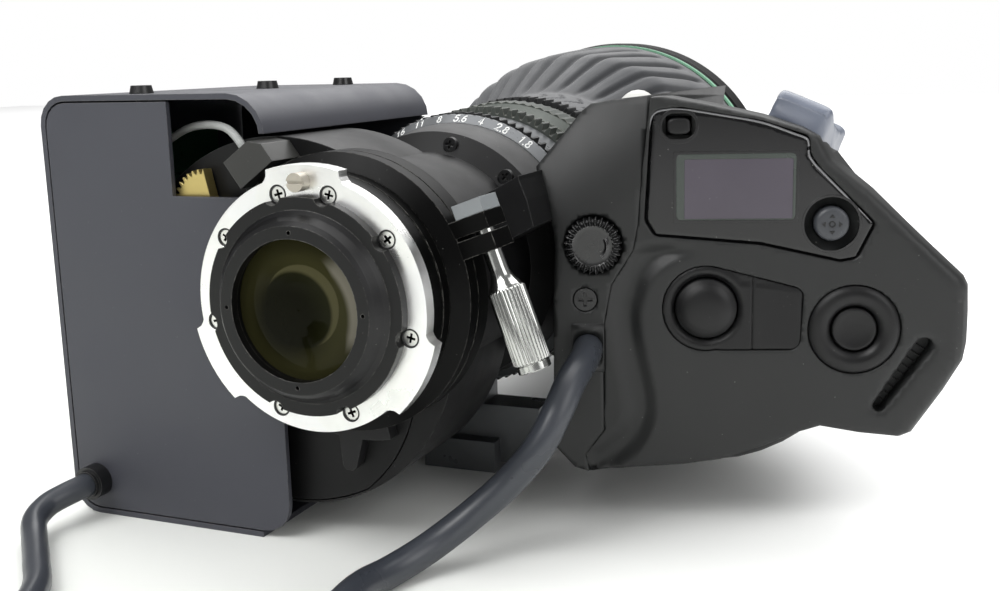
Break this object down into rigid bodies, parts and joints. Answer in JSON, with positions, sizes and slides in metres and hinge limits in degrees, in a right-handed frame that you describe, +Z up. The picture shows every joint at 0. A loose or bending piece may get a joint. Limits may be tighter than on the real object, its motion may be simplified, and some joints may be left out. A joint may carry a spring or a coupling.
{
  "type": "broadcast zoom lens",
  "caption": "Broadcast zoom lens with a bayonet spigot, geared iris, zoom and focus rings, a servo grip with a rocker and a side control box.",
  "frame": {"origin": "centre of the mount flange's rear face, on the optical axis", "axes": "+Y along the optical axis toward the front, +X to the operator's right (grip side), +Z up"},
  "size_m": [0.2179, 0.41, 0.12],
  "materials": {
    "flange_steel": "fine turned, bright",
    "pin_tan": "satin",
    "black_anodised": "satin black anodised",
    "housing_grey": "satin grey-black",
    "lever_black": "satin black",
    "rear_glass": "coated",
    "inner_glass": "coated",
    "spacer_grey": "satin",
    "chrome": "bright",
    "black_screw": "semi-gloss black",
    "band_grey": "smooth grey",
    "gear_black": "satin black",
    "knurl_grey": "satin grey-green",
    "rubber": "soft matte",
    "stripe_green": "satin pale green",
    "cell_metal": "dark anodised",
    "box_sheet": "fine textured grey-purple",
    "board_green": "lacquered",
    "brass": "machined",
    "plug_plastic": "matte",
    "lead_grey": "satin",
    "lead_black": "soft sheen",
    "plug_metal": "satin dark",
    "motor_steel": "satin",
    "grip_plastic": "soft matte",
    "display_gloss": "high gloss",
    "window_grey": "dark display",
    "button_black": "satin",
    "button_pale": "satin"
  },
  "bodies": {
    "lens": {"mount_flange": "flange_steel", "flange_screws": "flange_steel", "locating_pin": "pin_tan", "rear_spigot": "black_anodised", "rear_glass": "rear_glass", "rear_barrel": "black_anodised", "extender_housing": "housing_grey", "extender_cover": "housing_grey", "iris_flange": "housing_grey", "band_screws": "black_screw", "main_tube": "band_grey", "front_barrel": "black_anodised", "stripe_ring": "stripe_green", "front_rim": "black_anodised", "front_glass": "inner_glass", "relay_glass": "inner_glass", "iris_blades": "cell_metal", "box_cover": "box_sheet", "box_rear_plate": "box_sheet", "box_front_plate": "box_sheet", "box_screws": "black_screw", "box_bracket": "housing_grey", "control_board": "board_green", "plug_block": "plug_plastic", "plug_lead": "lead_grey", "box_gland": "black_screw", "mount_arm": "housing_grey", "drive_housing": "grip_plastic", "drive_motors": "motor_steel", "grip_shell": "grip_plastic", "grip_screws": "black_screw", "display_panel": "display_gloss", "display_window": "window_grey", "record_plate": "button_black", "aux_ring": "button_black", "grip_lead": "lead_black", "grip_plug": "plug_metal", "box_lead": "lead_black", "box_plug": "plug_metal"},
    "back_ring": {"back_focus_ring": "black_anodised", "clamp_spacer": "spacer_grey"},
    "lock_screw": {"lock_screw": "chrome"},
    "extender_lever": {"extender_lever": "lever_black"},
    "iris_ring": {"iris_ring": "gear_black"},
    "zoom_ring": {"zoom_ring": "knurl_grey"},
    "focus_ring": {"focus_ring": "gear_black", "rubber_grip": "rubber"},
    "iris_pinion": {"iris_pinion": "motor_steel"},
    "zoom_pinion": {"zoom_pinion": "motor_steel"},
    "focus_pinion": {"focus_pinion": "motor_steel"},
    "zoom_group": {"zoom_cell": "cell_metal"},
    "focus_group": {"focus_cell": "cell_metal"},
    "gear_sector": {"brass_gear": "brass"},
    "knob": {"knob": "button_black"},
    "display_button": {"display_button": "button_black"},
    "menu_key": {"menu_key": "button_black"},
    "record_button": {"record_button": "button_black"},
    "aux_button": {"aux_button": "button_black"},
    "zoom_rocker": {"zoom_rocker": "button_black"},
    "top_button": {"top_button": "button_pale"}
  },
  "joints": [
    {"name": "back_focus_turn", "type": "hinge", "parent": "lens", "child": "back_ring", "pos_m": [0, 0.0178, 0], "axis": [0, 1, 0], "range_deg": [-20, 10]},
    {"name": "lock_screw_turn", "type": "hinge", "parent": "back_ring", "child": "lock_screw", "pos_m": [0.03477, 0.0186, 0.01265], "axis": [0.342, 0, -0.9397], "range_deg": [-270, 0]},
    {"name": "extender_swing", "type": "hinge", "parent": "lens", "child": "extender_lever", "pos_m": [0, 0.022, 0], "axis": [0, 1, 0], "range_deg": [-30, 0]},
    {"name": "iris_turn", "type": "hinge", "parent": "lens", "child": "iris_ring", "pos_m": [0, 0.08, 0], "axis": [0, 1, 0], "range_deg": [-35, 35]},
    {"name": "zoom_turn", "type": "hinge", "parent": "lens", "child": "zoom_ring", "pos_m": [0, 0.108, 0], "axis": [0, 1, 0], "range_deg": [-50, 50]},
    {"name": "focus_turn", "type": "hinge", "parent": "lens", "child": "focus_ring", "pos_m": [0, 0.15, 0], "axis": [0, 1, 0], "range_deg": [-60, 60]},
    {"name": "iris_pinion_spin", "type": "hinge", "parent": "lens", "child": "iris_pinion", "pos_m": [0.04296, 0, 0.01564], "axis": [0, 1, 0], "range_deg": [-147, 147]},
    {"name": "zoom_pinion_spin", "type": "hinge", "parent": "lens", "child": "zoom_pinion", "pos_m": [0.04646, 0, -0.00244], "axis": [0, 1, 0], "range_deg": [-214, 214]},
    {"name": "focus_pinion_spin", "type": "hinge", "parent": "lens", "child": "focus_pinion", "pos_m": [0.04325, 0, -0.02109], "axis": [0, 1, 0], "range_deg": [-268, 268]},
    {"name": "zoom_group_slide", "type": "slide", "parent": "lens", "child": "zoom_group", "axis": [0, 1, 0], "range_m": [-0.0192, 0.0192]},
    {"name": "focus_group_slide", "type": "slide", "parent": "lens", "child": "focus_group", "axis": [0, 1, 0], "range_m": [-0.0092, 0.0092]},
    {"name": "gear_sector_swing", "type": "hinge", "parent": "lens", "child": "gear_sector", "pos_m": [-0.0406, 0.022, 0.0185], "axis": [0, 1, 0], "range_deg": [-20, 20]},
    {"name": "knob_turn", "type": "hinge", "parent": "lens", "child": "knob", "pos_m": [0.04754, 0.05166, 0.0073], "axis": [-0.2588, 0.9659, 0], "range_deg": [-135, 135]},
    {"name": "display_button_push", "type": "slide", "parent": "lens", "child": "display_button", "axis": [-0.2588, 0.9659, 0], "range_m": [0, 0.0008], "stiffness_N_per_m": 300},
    {"name": "menu_key_push", "type": "slide", "parent": "lens", "child": "menu_key", "axis": [-0.2588, 0.9659, 0], "range_m": [0, 0.0008], "stiffness_N_per_m": 300},
    {"name": "record_button_push", "type": "slide", "parent": "lens", "child": "record_button", "axis": [-0.2588, 0.9659, 0], "range_m": [0, 0.0008], "stiffness_N_per_m": 300},
    {"name": "aux_button_push", "type": "slide", "parent": "lens", "child": "aux_button", "axis": [-0.2588, 0.9659, 0], "range_m": [0, 0.0008], "stiffness_N_per_m": 300},
    {"name": "zoom_rocker_rock", "type": "hinge", "parent": "lens", "child": "zoom_rocker", "pos_m": [0.09062, 0.0852, 0.0295], "axis": [0.9361, -0.0819, -0.342], "range_deg": [-9, 9], "stiffness_Nm_per_rad": 0.12},
    {"name": "top_button_push", "type": "slide", "parent": "lens", "child": "top_button", "axis": [0, 0, -1], "range_m": [0, 0.0008], "stiffness_N_per_m": 300}
  ],
  "couplings": [
    {"joint": "iris_pinion_spin", "follows": "iris_turn", "ratio": -4.1818},
    {"joint": "zoom_pinion_spin", "follows": "zoom_turn", "ratio": -4.2727},
    {"joint": "focus_pinion_spin", "follows": "focus_turn", "ratio": -4.4545},
    {"joint": "zoom_group_slide", "follows": "zoom_turn", "m_per_rad": 0.0218},
    {"joint": "focus_group_slide", "follows": "focus_turn", "m_per_rad": 0.0086}
  ]
}
